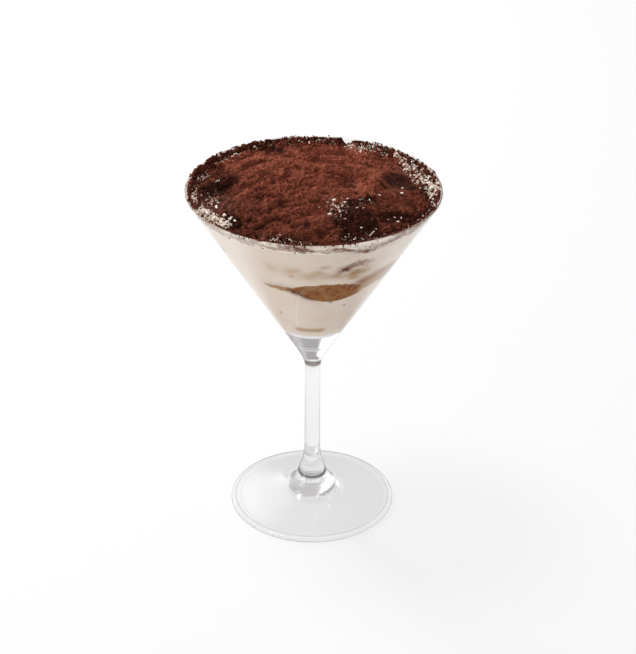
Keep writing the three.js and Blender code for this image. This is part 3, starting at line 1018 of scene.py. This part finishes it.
def creases(x, y, sweep):
    """Short cracks across the slope, where the powder has slumped, and how deep they cut."""
    line = abs(noise.noise(Vector((x / 9, sweep / 2.8, 40.0))))
    return smooth(rough(x, y, 41.0, 7), 0.02, 0.3) * smooth(line, 0.16, 0.0)


def ripples(x, y):
    """Slumped powder: soft lumps with steep near sides, smaller ones in places, pits, clods and grain."""
    sweep = y + 0.0075 * (x - 5) ** 2 + 2.5 * rough(x, y, 9.2, 12)
    side = x + 2.5 * rough(x, y, 1.7, 12)
    busy = max(smooth(rough(x, y, 20.0, 9), -0.35, 0.3), hump(x, y, -17, -30, 16, 13, 0))
    calm = 1 - spots(x, y, CALM_SPOTS)
    value = folds(x, y)
    value += mix(0.5, 2.2, calm) * leaned(side, sweep, 0.0, 9.5, 5.5, 3.6) - 0.9 * calm * creases(x, y, sweep)
    value += calm * mix(0.3, 1.6, busy) * leaned(side, sweep, 7.0, 3.8, 2.5, 1.8)
    grain = mix(0.2, 0.45, calm) * rough(x, y, 2.0, 0.9)
    value += calm * mix(0.5, 1.15, busy) * rough(x, y, 7.0, 1.6) + grain
    value -= calm * smooth(rough(x, y, 5.5, 2.6), 0.4, 0.6)
    share = math.hypot(x, y) / bowl_radius(FILL_HEIGHT)
    clods = max(smooth(share, 0.78, 0.93), smooth(spots(x, y, DAMP_SPOTS), 0.7, 1.0))
    value += clods * (2.2 * abs(rough(x, y, 3.3, 3.2)) + 0.8 * rough(x, y, 6.3, 1.4) - 0.5)
    return value


def cocoa_height(x, y):
    """The mound's surface, which never cuts through to the cream."""
    return bed(x, y) + max(ripples(x, y), 0.1 - COCOA_THICKNESS)


def shade(x, y, z):
    """How dark the powder is: damp patches, with painted shade in the hollows and towards the front and the
    sides, and painted light towards the back.
    """
    # painted shade: the hollows of the ripples are darker
    hollow_shade = smooth(bed(x, y) - z, -0.2, 1.4)
    # painted shade towards the front and the sides, painted light towards the back
    edges = 0.25 * smooth(-y, 0, 35) + 0.3 * smooth(x, 20, 40) + 0.15 * smooth(-x, 10, 30)
    return clamp(max(damp(x, y), 0.75 * hollow_shade + edges - 0.16 * smooth(y, 5, 25)))


def in_line(v, r):
    """The place at a radius in the direction of a point."""
    direction = Vector((v.co.x, v.co.y)).normalized()
    return r * direction.x, r * direction.y


def add_cocoa(material):
    """A square grid pulled round onto the bowl, raised to the mound and closed below by rings."""
    bm = bmesh.new()
    bmesh.ops.create_grid(bm, x_segments=COCOA_CELLS, y_segments=COCOA_CELLS, size=1.0)
    reach = bowl_radius(FILL_HEIGHT)
    for v in bm.verts:
        x = reach * v.co.x * math.sqrt(1 - v.co.y**2 / 2)
        y = reach * v.co.y * math.sqrt(1 - v.co.x**2 / 2)
        v.co = (x, y, cocoa_height(x, y))
    rim = [e for e in bm.edges if e.is_boundary]
    for v in {v for e in rim for v in e.verts}:
        v.co = (*in_line(v, bowl_radius(v.co.z)), v.co.z)
    for share in UNDERSIDE_SHARES:
        skirt = bmesh.ops.extrude_edge_only(bm, edges=rim)["geom"]
        ring = [g for g in skirt if isinstance(g, bmesh.types.BMVert)]
        rim = [g for g in skirt if isinstance(g, bmesh.types.BMEdge) and g.is_boundary]
        for v in ring:
            x, y = in_line(v, bowl_radius(FILL_HEIGHT - COCOA_THICKNESS) * share)
            v.co = (x, y, cream_top(x, y))
    bmesh.ops.remove_doubles(bm, verts=ring, dist=MERGE)
    bmesh.ops.recalc_face_normals(bm, faces=bm.faces)
    ob = finish_mesh(bm, "cocoa_mound", material)
    # the damp mask of the mound also carries its painted shade and light
    for name, mask in (("damp", shade), ("grey", grey), ("curds", curds)):
        write_mask(ob, name, mask)
    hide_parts("cocoa")
    return ob


# ---------------------------------------------------------------- cream smeared on the wall

SMEAR_STEPS = 720
SMEAR_ROWS = 14
SMEAR_BOTTOM = FILL_HEIGHT - 1.9
SMEAR_TOP = RIM_HEIGHT - 0.1
SMEAR_DRUM = 10  # radius of the drum that the smear is bent from
BELOW_LIP = 0.03
SMEAR_INTO_WALL = 0.03  # beyond the contents
CLEAN_GAP = (164, 2.5, 2.4)  # turn, half its width and depth, of a clean place at the back of the rim


def smear_top(turn):
    """How high the smear reaches."""
    at, half, depth = CLEAN_GAP
    value = SMEAR_TOP + 0.4 * around(turn, 6, 0, 61) + 0.3 * around(turn, 1.6, 0, 62)
    return min(value - depth * bell(turn_off(turn, at), 0, half), INNER_LIP[1] - BELOW_LIP)


def add_smear(material):
    """A thin uneven skin of cream and cocoa up the glass."""
    half = [(0.0, row / SMEAR_ROWS) for row in range(SMEAR_ROWS + 1)]
    outline = half + [(1.0, level) for _, level in reversed(half)] + [half[0]]
    bm = turned([(SMEAR_DRUM + side, level) for side, level in outline], SMEAR_STEPS)
    for v in bm.verts:
        side, level = math.hypot(v.co.x, v.co.y) - SMEAR_DRUM, v.co.z
        turn = turn_of(v.co.x, v.co.y)
        z = mix(SMEAR_BOTTOM, smear_top(turn), level)
        depth = 0.7 + 0.5 * around(turn, 3, z, 63) + 0.4 * around(turn, 1.1, z, 64)
        depth = max(depth, 0.2) * math.sqrt(1 - level**3 * 0.9)
        v.co = at_turn(turn, bowl_radius(z) + SMEAR_INTO_WALL - side * depth, z)
    bmesh.ops.recalc_face_normals(bm, faces=bm.faces)
    ob = finish_mesh(bm, "rim_smear", material)
    for name, mask in (("damp", smear_damp), ("curds", smear_curds), ("stain", stain_shown)):
        write_mask(ob, name, mask)
    return ob


def smear_damp(x, y, z):
    return clamp(0.65 + 0.8 * rough(x, y, z, 2.5))


def smear_curds(x, y, z):
    """All cream where it touches the glass, speckled with cocoa inside."""
    turn = turn_of(x, y)
    inside = smooth(bowl_radius(z) - math.hypot(x, y), -0.02, 0.04)
    speckled = 0.9 * rim_cream(turn)[0] + 0.3 * around(turn, 4, z, 65)
    return clamp(mix(1.0, speckled, inside))


# ---------------------------------------------------------------- loose grains, beads and flecks

LUMP_KINDS = 8
LUMP_UNEVEN, LUMP_WAVE = 0.9, 1.7
FINER_FROM = (0.5, 1.4)  # half sizes from which a lump has a finer mesh


def lump_shapes(level):
    """Uneven small balls of several kinds, each as points and faces."""
    shapes = []
    for kind in range(LUMP_KINDS):
        bm = bmesh.new()
        bmesh.ops.create_icosphere(bm, subdivisions=level, radius=1)
        aside = Vector((kind * 5.1, 0, 0))
        points = [v.co * (1 + LUMP_UNEVEN * noise.noise(v.co * LUMP_WAVE + aside)) for v in bm.verts]
        shapes.append((np.array(points), np.array([[v.index for v in f.verts] for f in bm.faces])))
        bm.free()
    return shapes


def scattered(name, places, material):
    """One joined mesh of uneven lumps. A place is (centre, size along three axes, turn as three angles)."""
    shapes = [lump_shapes(level) for level in (1, 2, 3)]
    verts, polygons, total = [], [], 0
    for index, (centre, size, angles) in enumerate(places):
        level = sum(max(size) > limit for limit in FINER_FROM)
        points, faces = shapes[level][index % LUMP_KINDS]
        matrix = np.array(Euler(angles).to_matrix())
        verts.append((points * size) @ matrix.T + np.array(centre))
        polygons.append(faces + total)
        total += len(points)
    mesh = bpy.data.meshes.new(name)
    mesh.from_pydata((np.concatenate(verts) * MM).tolist(), [], np.concatenate(polygons).tolist())
    return as_object(mesh, name, material)


def loose_angles(draw, tilt):
    return (draw.uniform(-tilt, tilt), draw.uniform(-tilt, tilt), draw.uniform(0, 2 * math.pi))


def lump_size(draw, size_range, shape):
    """Mostly small, seldom large, with the sizes along the three axes, whose ranges the shape gives."""
    low, high = size_range
    size = mix(low, high, draw.random() ** 2)
    return size, tuple(size * draw.uniform(*axis) for axis in shape)


def turn_taken(draw, weight):
    """A turn, more often where weight(turn) is nearer 1."""
    while True:
        turn = draw.uniform(-180, 180)
        if draw.random() <= weight(turn):
            return turn


def on_mound(draw, count, weight, size_range, shape, tilt, lift):
    """Lumps that lie on the cocoa, thicker where weight(x, y) is nearer 1."""
    reach = bowl_radius(FILL_HEIGHT, -OFF_WALL)
    places = []
    while len(places) < count:
        x, y = draw.uniform(-reach, reach), draw.uniform(-reach, reach)
        if math.hypot(x, y) > reach or draw.random() > weight(x, y):
            continue
        size, sizes = lump_size(draw, size_range, shape)
        places.append(((x, y, cocoa_height(x, y) + lift * size), sizes, loose_angles(draw, tilt)))
    return places


def on_wall(draw, count, weight, size_range, shape):
    """Lumps that cling to the smear above the contents."""
    places = []
    for _ in range(count):
        turn = turn_taken(draw, weight)
        z = draw.uniform(FILL_HEIGHT + OFF_WALL, smear_top(turn) + heaped(turn))
        size, sizes = lump_size(draw, size_range, shape)
        place = at_turn(turn, bowl_radius(z, -0.4 - 0.3 * size), z)
        places.append((place, sizes, loose_angles(draw, ANY_WAY)))
    return places


def near_turn(turn, at, half):
    return bell(turn_off(turn, at), 0, half)


def heaped(turn):
    """How far the grains climb above the smear: on the back left and the right they reach over the lip."""
    return 0.15 + 0.6 * near_turn(turn, -125, 32) + 0.4 * near_turn(turn, 125, 25)


def wall_beads(turn):
    """Cocoa at the wall, thinner where there is cream."""
    return clamp(1.2 - rim_cream(turn)[0])


def wall_clods(turn):
    """Larger clods at the back left."""
    return near_turn(turn, -122, 30)


def wall_flecks(turn):
    return rim_cream(turn)[0] ** 1.5


def grouped(x, y):
    """The curds mask broken into small groups, so that flecks don't lie evenly."""
    return curds(x, y) ** 1.6 * smooth(rough(x, y, 12.0, 1.9), -0.1, 0.2)


def lumpy(x, y):
    """Where the larger lumps of cream lie."""
    return spots(x, y, LUMPY_SPOTS)


def edge_beads(x, y):
    """Thick at the wall, thinner on the damp patches, and none in the smooth hollow."""
    dark = 0.3 * smooth(spots(x, y, DAMP_SPOTS), 0.6, 1.0)
    return max(smooth(math.hypot(x, y), 47, 53), dark, 0.7 * curds(x, y)) * (1 - spots(x, y, CALM_SPOTS))


def everywhere(x, y):
    return 1.0


LUMP = ((0.9, 1.2), (0.75, 1.0), (0.65, 0.95))  # ranges of the sizes along the three axes
FLAKE = ((0.8, 1.3), (0.6, 0.9), (0.45, 0.75))
ANY_WAY, FLAT_DOWN = 1.5, 0.5  # how far lumps tilt, in radians
OFF_WALL = 0.6
SEED = 17
CURL_HALF = 4  # flecks on each side of a curl's middle
CREAM_LUMPS = [  # x, y, half length, half width, turn
    (-42.5, 31, 1.3, 0.5, 60), (-40, 36, 1.5, 0.5, 55), (-37, 41, 1.3, 0.5, 40),
    (-50.8, 12, 1.7, 0.7, 100), (-48, 15, 1.3, 0.3, 70), (-50.5, -3, 1.0, 0.6, 60),
    (-43, -17, 1.6, 0.45, 90), (-42, -13, 0.8, 0.4, 0), (7.1, -30.4, 0.9, 0.8, 20), (9, -15, 0.7, 0.5, 0),
    (15, -16, 0.6, 0.4, 40), (5.5, -12, 0.5, 0.35, 0), (34.8, -25, 0.6, 0.5, 30),
    (36.8, -31, 0.6, 0.5, 0), (35.6, -28, 0.5, 0.4, 50), (40, 4, 0.6, 0.4, 20), (32.5, -29, 0.4, 0.3, 0),
    (38.5, -27, 0.4, 0.35, 70), (41.5, -33, 0.4, 0.3, 20), (29.1, -11.8, 0.9, 0.4, -50),
    (8.9, -16.6, 0.9, 0.5, 20), (11.4, -17.8, 0.7, 0.5, 80), (13.9, -18.9, 0.6, 0.5, 10),
    (10.3, -25.7, 0.8, 0.5, 40), (11.8, -29.1, 0.7, 0.5, 0), (2.4, -25.8, 0.6, 0.4, 30),
    (19.3, -24, 0.8, 0.35, 10), (21.8, -26.3, 0.5, 0.4, 60), (20.5, -40, 0.6, 0.4, 0),
    (17.5, -46.6, 0.6, 0.4, 50), (13.6, -35.2, 0.7, 0.35, -20), (15.3, -42.9, 0.5, 0.4, 0),
    (24.9, -35.1, 0.5, 0.35, 30), (-14.4, -45.3, 0.6, 0.5, 0), (-5.8, -50.9, 0.6, 0.4, 30),
    (1.9, -52.6, 0.6, 0.5, 0), (39.5, -2.2, 0.7, 0.5, 20), (-22, -45.4, 0.5, 0.4, 0),
]
CREAM_CURLS = [  # x, y, length, turn, bend: flecks drawn out into a bent thread
    (25, -42, 5.0, 42, 20), (27.2, -40, 2.2, 110, 30), (-38.5, 39, 4.0, 60, 25), (13, -47, 2.5, 10, 30),
    (-43.5, 10, 4.0, 60, 20),
]


def laid_down(lump):
    """A lump pressed a little into the cocoa."""
    x, y, half_length, half_width, turn = lump
    height = 0.55 * half_width
    at = (x, y, cocoa_height(x, y) + 0.4 * height)
    return (at, (half_length, half_width, height), (0, 0, math.radians(turn)))


def curled(curl):
    """A row of flecks along an arc, thinning out towards its ends."""
    x, y, length, turn, bend = curl
    places = []
    for i in range(-CURL_HALF, CURL_HALF + 1):
        share = i / CURL_HALF
        heading = turn + bend * share / 2
        along = length / 2 * share
        at_x = x + along * math.cos(math.radians(heading))
        at_y = y + along * math.sin(math.radians(heading))
        size = 0.12 * length * (1 - 0.6 * share * share)
        at = (at_x, at_y, cocoa_height(at_x, at_y) + 0.3)
        places.append((at, (size, 0.5 * size, 0.4 * size), (0, 0, math.radians(turn + bend * share))))
    return places


def on_lip(draw, count, weight, size_range, shape):
    """Lumps that lie on the rounded lip."""
    places = []
    for _ in range(count):
        turn = turn_taken(draw, weight)
        size, sizes = lump_size(draw, size_range, shape)
        up = math.radians(draw.uniform(50, 150))
        out = LIP_RADIUS + 0.4 * size
        place = at_turn(turn, LIP_CENTRE[0] + out * math.cos(up), LIP_CENTRE[1] + out * math.sin(up))
        places.append((place, sizes, loose_angles(draw, ANY_WAY)))
    return places


def lip_crumbs(turn):
    """Small groups, and more of them at the front left and at the back left."""
    groups = smooth(around(turn, 4, 0, 71), 0.0, 0.3) * (1 - near_turn(turn, CLEAN_GAP[0], 12))
    return groups * clamp(0.25 + 0.75 * near_turn(turn, -8, 22) + 0.6 * near_turn(turn, -125, 30))


def bead_damp(x, y, z):
    return clamp(0.1 + 0.55 * damp(x, y) + 0.7 * rough(x, y, 4.0, 0.8))


def add_grains(powder, cream):
    """Counts, where they lie and ranges of half their size. The order of the draws matters."""
    draw = random.Random(SEED)
    beads = on_mound(draw, 2100, edge_beads, (0.2, 0.75), LUMP, ANY_WAY, 0.3)
    rim_beads = on_wall(draw, 2300, wall_beads, (0.3, 0.8), LUMP)
    rim_beads += on_wall(draw, 110, wall_clods, (0.7, 1.25), LUMP)
    rim_beads += on_lip(draw, 420, lip_crumbs, (0.12, 0.45), LUMP)
    flecks = on_mound(draw, 1250, grouped, (0.15, 0.5), FLAKE, ANY_WAY, 0.6)
    flecks += on_wall(draw, 600, wall_flecks, (0.2, 0.55), FLAKE)
    flecks += on_mound(draw, 240, lumpy, (0.5, 0.85), FLAKE, FLAT_DOWN, 0.3)
    flecks += [laid_down(lump) for lump in CREAM_LUMPS]
    flecks += [place for curl in CREAM_CURLS for place in curled(curl)]
    dust = on_mound(draw, 7000, everywhere, (0.1, 0.35), LUMP, ANY_WAY, 0.3)
    made = [
        (scattered("cocoa_beads", beads, powder), "cocoa"),
        (scattered("rim_beads", rim_beads, powder), "cocoa"),
        (scattered("cream_flecks", flecks, cream), "cream"),
        (scattered("cocoa_grains", dust, powder), "cocoa"),
    ]
    for ob, slot in made:
        if slot == "cocoa":
            write_mask(ob, "damp", bead_damp)
    return made


# ---------------------------------------------------------------- the stage

IMAGE_LONG_SIDE = 654
FOCAL_PIXELS = 1998.0
CAMERA_DISTANCE, CAMERA_HEIGHT = 0.8128, 0.5531
CAMERA_DOWN, CAMERA_ASIDE, CAMERA_ROLL = 29.39, -0.1655, 0.433  # in degrees
SENSOR_WIDTH = 36


def add_camera():
    """Straight in front of the glass and looking down on it."""
    data = bpy.data.cameras.new("camera")
    data.sensor_width = SENSOR_WIDTH
    data.lens = SENSOR_WIDTH * FOCAL_PIXELS / IMAGE_LONG_SIDE
    data.clip_end = 50
    ob = bpy.data.objects.new("camera", data)
    aim = Matrix.Rotation(math.radians(CAMERA_ASIDE), 4, "Z")
    aim = aim @ Matrix.Rotation(math.radians(90 - CAMERA_DOWN), 4, "X")
    aim = aim @ Matrix.Rotation(math.radians(CAMERA_ROLL), 4, "Z")
    ob.matrix_world = Matrix.Translation((0, -CAMERA_DISTANCE, CAMERA_HEIGHT)) @ aim
    bpy.context.scene.collection.objects.link(ob)
    bpy.context.scene.camera = ob


# name, place, aim, size, power, and whether the glass mirrors it
LIGHTS = [
    ("key", (-0.35, 0.15, 1.15), (0, 0, 0.15), 0.4, 3.8, True),
    ("back", (-0.75, 1.15, 0.78), (0, 0, 0.15), 0.35, 14, False),
    ("side", (-1.0, -0.5, 0.4), (0, 0, 0.13), 0.6, 3, True),
]


def add_area(name, place, target, size, power, mirrored):
    """A soft round light."""
    data = bpy.data.lights.new(name, "AREA")
    data.shape = "DISK"
    data.size = size
    data.energy = power
    ob = bpy.data.objects.new(name, data)
    ob.visible_glossy = mirrored
    ob.location = place
    ob.rotation_euler = (Vector(target) - Vector(place)).to_track_quat("-Z", "Y").to_euler()
    bpy.context.scene.collection.objects.link(ob)


FLOOR_ALBEDO = 0.45
FLOOR_GLOW = 1.9
GLOW_SHARE = 0.32  # how much of the floor is lit from below, as on a light table
UNLIT_REACH = (0.07, 0.13)  # in metres: within the first, mirror images of the floor show it without its glow and at half its albedo, a painted shadow of the bowl
FLOOR_HALF = 9000


def add_floor():
    """A pale light table. The glass doesn't mirror the glow below the bowl, which would veil the layers, and
    it mirrors the floor there darker, as a painted shadow.
    """
    bm = bmesh.new()
    bmesh.ops.create_grid(bm, x_segments=1, y_segments=1, size=FLOOR_HALF)
    material, t, p = new_material("white_floor")
    p.inputs["Roughness"].default_value = 1.0
    p.inputs["Specular IOR Level"].default_value = 0.0
    glow = t.add("ShaderNodeEmission")
    glow.inputs["Strength"].default_value = FLOOR_GLOW
    path = t.add("ShaderNodeLightPath").outputs
    mirrored = t.maths("SUBTRACT", path["Is Reflection Ray"], path["Is Diffuse Ray"], True)
    mirrored = t.maths("SUBTRACT", mirrored, path["Transmission Depth"], True)
    reach = t.add("ShaderNodeVectorMath", operation="LENGTH")
    t.put(t.place(), reach.inputs[0])
    unlit = t.maths("MULTIPLY", mirrored, t.ranged(reach.outputs["Value"], *UNLIT_REACH, 1.0, 0.0))
    # painted shadow: half the floor's albedo, seen only in mirror images near the bowl
    pale, painted_shadow = ((level, level, level, 1) for level in (FLOOR_ALBEDO, FLOOR_ALBEDO / 2))
    t.put(t.mixed(unlit, pale, painted_shadow), p.inputs["Base Color"])
    share = t.maths("MULTIPLY", t.maths("SUBTRACT", 1.0, unlit), GLOW_SHARE)
    both = t.mixed_shaders(share, p.outputs["BSDF"], glow.outputs[0])
    t.put(both, t.nodes["Material Output"].inputs["Surface"])
    floor = finish_mesh(bm, "floor", material, False)


SKY = [(0.0, 0.42), (0.12, 0.42), (0.35, 0.5), (1.0, 0.55)]  # sine of the elevation, brightness
SKY_TINT = (1.0, 0.965, 0.96)
SIDE_LIGHT = (1.3, 0.7)  # left and right
WINDOW_LIGHT = 2.1  # a tall window at the back left
WINDOW_X, WINDOW_END = (-0.12, -0.3), (-0.85, -0.7)
WINDOW_Y, WINDOW_Z = (0.3, 0.5), (0.12, 0.22)
PANEL_NEAR, PANEL_FAR, PANEL_TOP, PANEL_SIDES = (-0.4, -0.1), (0.96, 0.86), (0.5, 0.25), (-0.2, 0.2)


def tinted(level):
    return (*(level * tint for tint in SKY_TINT), 1)


def set_world():
    """A white room: brighter overhead, with tall pale panels at both sides of a grey wall at the back."""
    world = bpy.data.worlds.new("studio")
    world.use_nodes = True
    t = Tree(world.node_tree)
    parts = t.add("ShaderNodeSeparateXYZ")
    t.put(t.add("ShaderNodeTexCoord").outputs["Generated"], parts.inputs[0])
    ramp = t.add("ShaderNodeValToRGB")
    t.put(parts.outputs["Z"], ramp.inputs["Fac"])
    stops = ramp.color_ramp.elements
    while len(stops) < len(SKY):
        stops.new(0.5)
    for stop, (place, level) in zip(stops, SKY):
        stop.position = place
        stop.color = tinted(level)
    x, y, z = parts.outputs
    beside = t.product(t.ranged(y, *PANEL_NEAR), t.ranged(y, *PANEL_FAR), t.ranged(z, *PANEL_TOP))
    panel = t.mixed(t.ranged(x, *PANEL_SIDES), *(tinted(level) for level in SIDE_LIGHT))
    shown = t.mixed(beside, ramp.outputs["Color"], panel)
    across = t.product(t.ranged(x, *WINDOW_X), t.ranged(x, *WINDOW_END))
    window = t.product(across, t.ranged(y, *WINDOW_Y), t.ranged(z, *WINDOW_Z))
    t.put(t.mixed(window, shown, tinted(WINDOW_LIGHT)), t.nodes["Background"].inputs["Color"])
    bpy.context.scene.world = world


def main():
    """The camera, the room and the pieces, each on its body."""
    bpy.context.scene.view_settings.view_transform = "Standard"
    add_camera()
    set_world()
    add_floor()
    for light in LIGHTS:
        add_area(*light)
    looks = {"speckle": speckle_group(), "cream": cream_group(), "cocoa": cocoa_group()}
    powder = powder_material("cocoa_powder", looks)
    cream = cream_material(looks)
    pieces = [
        (add_glass(), "glass"),
        *add_layers(looks),
        (add_cocoa(powder), "cocoa"),
        (add_smear(powder), "cream"),
        *add_grains(powder, cream),
    ]
    for ob, slot in pieces:
        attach(ob, BODY)


main()
